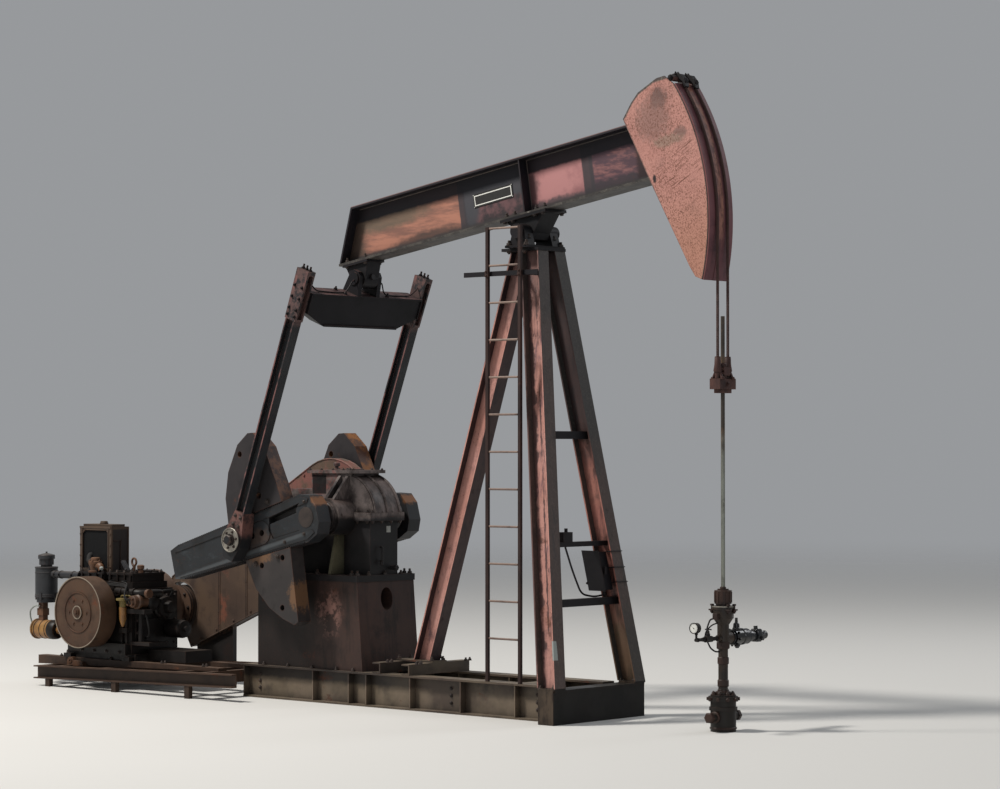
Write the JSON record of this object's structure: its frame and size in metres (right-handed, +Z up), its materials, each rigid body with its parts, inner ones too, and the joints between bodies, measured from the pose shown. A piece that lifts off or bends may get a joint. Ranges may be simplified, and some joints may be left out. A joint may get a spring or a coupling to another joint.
{
  "type": "beam pumping unit",
  "caption": "Beam pumping unit: a walking beam with a horse head on a leg post, driven by counterweighted cranks, pitmans, a gearbox and a belt-driven engine, over a wellhead.",
  "frame": {"origin": "on the ground, under the middle of the saddle bearing, on the underside of the skid cross beam there", "axes": "+X points at the well and the horse head, -Y is the side with the ladder, +Z is up"},
  "size_m": [7.794, 1.756, 5.1407],
  "materials": {
    "skid_paint": "weathered brown paint with rust",
    "frame_paint": "faded salmon paint with rust",
    "dark_steel": "dark weathered paint",
    "gear_grey": "dark blue-grey paint with dust",
    "weight_iron": "cast iron with orange rust",
    "guard_brown": "brown paint, faded",
    "engine_black": "oily black",
    "wellhead_iron": "oily cast iron",
    "orange_paint": "orange paint, oily",
    "rope": "greasy wire rope",
    "rod_steel": "polished rod"
  },
  "bodies": {
    "base": {"skid_beams": "skid_paint", "front_cross_beam": "skid_paint", "skid_cross_beams": "skid_paint", "rear_leg_channels": "frame_paint", "post_leg_near": "frame_paint", "post_leg_far": "frame_paint", "post_leg_rear": "frame_paint", "post_braces": "skid_paint", "post_cap": "dark_steel", "saddle_bearing": "dark_steel", "ladder_stiles": "dark_steel", "ladder_rungs": "dark_steel", "control_boxes": "dark_steel", "gearbox_pedestal": "skid_paint", "gearbox_lower": "gear_grey", "gearbox_upper": "gear_grey", "belt_guard": "guard_brown", "engine_rails": "skid_paint", "engine_cross_members": "skid_paint", "engine_bearers": "skid_paint", "engine_block": "engine_black", "cylinder_head": "engine_black", "clutch_housing": "guard_brown", "radiator": "guard_brown", "air_filter": "engine_black", "oil_filter": "orange_paint", "casing_head": "wellhead_iron", "pumping_tee": "wellhead_iron", "stuffing_box": "wellhead_iron", "flow_valve": "wellhead_iron", "pressure_gauge": "dark_steel"},
    "walking_beam": {"walking_beam": "frame_paint", "saddle_shaft": "dark_steel", "tail_bearing": "dark_steel", "head_plates": "frame_paint", "head_face": "skid_paint", "bridle_wrap": "rope"},
    "pitmans": {"equalizer": "skid_paint", "pitman_near": "frame_paint", "pitman_far": "frame_paint", "wrist_bearing_near": "dark_steel", "wrist_bearing_far": "dark_steel"},
    "cranks": {"crank_shaft": "dark_steel", "crank_near": "gear_grey", "crank_far": "gear_grey", "weight_near_upper": "weight_iron", "weight_near_lower": "weight_iron", "weight_far_upper": "weight_iron", "weight_far_lower": "weight_iron"},
    "rod": {"polished_rod": "rod_steel", "carrier_bar": "wellhead_iron", "bridle_fall": "rope"},
    "flywheel": {"flywheel": "guard_brown"}
  },
  "joints": [
    {"name": "beam_rock", "type": "hinge", "parent": "base", "child": "walking_beam", "pos_m": [0, 0, 3.98], "axis": [0, 1, 0], "range_deg": [-13.5, 33]},
    {"name": "pitman_swing", "type": "hinge", "parent": "walking_beam", "child": "pitmans", "pos_m": [-1.96505, 0, 3.67228], "axis": [0, -1, 0], "range_deg": [-7, 57]},
    {"name": "crank_turn", "type": "hinge", "parent": "base", "child": "cranks", "pos_m": [-2.05, 0, 1.608], "axis": [0, 1, 0], "continuous": true},
    {"name": "rod_slide", "type": "slide", "parent": "base", "child": "rod", "axis": [0, 0, -1], "range_m": [-0.46, 1.12], "deforming": ["bridle_fall"]},
    {"name": "flywheel_turn", "type": "hinge", "parent": "base", "child": "flywheel", "pos_m": [-4.75, 0, 0.7], "axis": [0, 1, 0], "continuous": true}
  ],
  "couplings": [
    {"joint": "rod_slide", "follows": "beam_rock", "m_per_rad": 1.94}
  ]
}
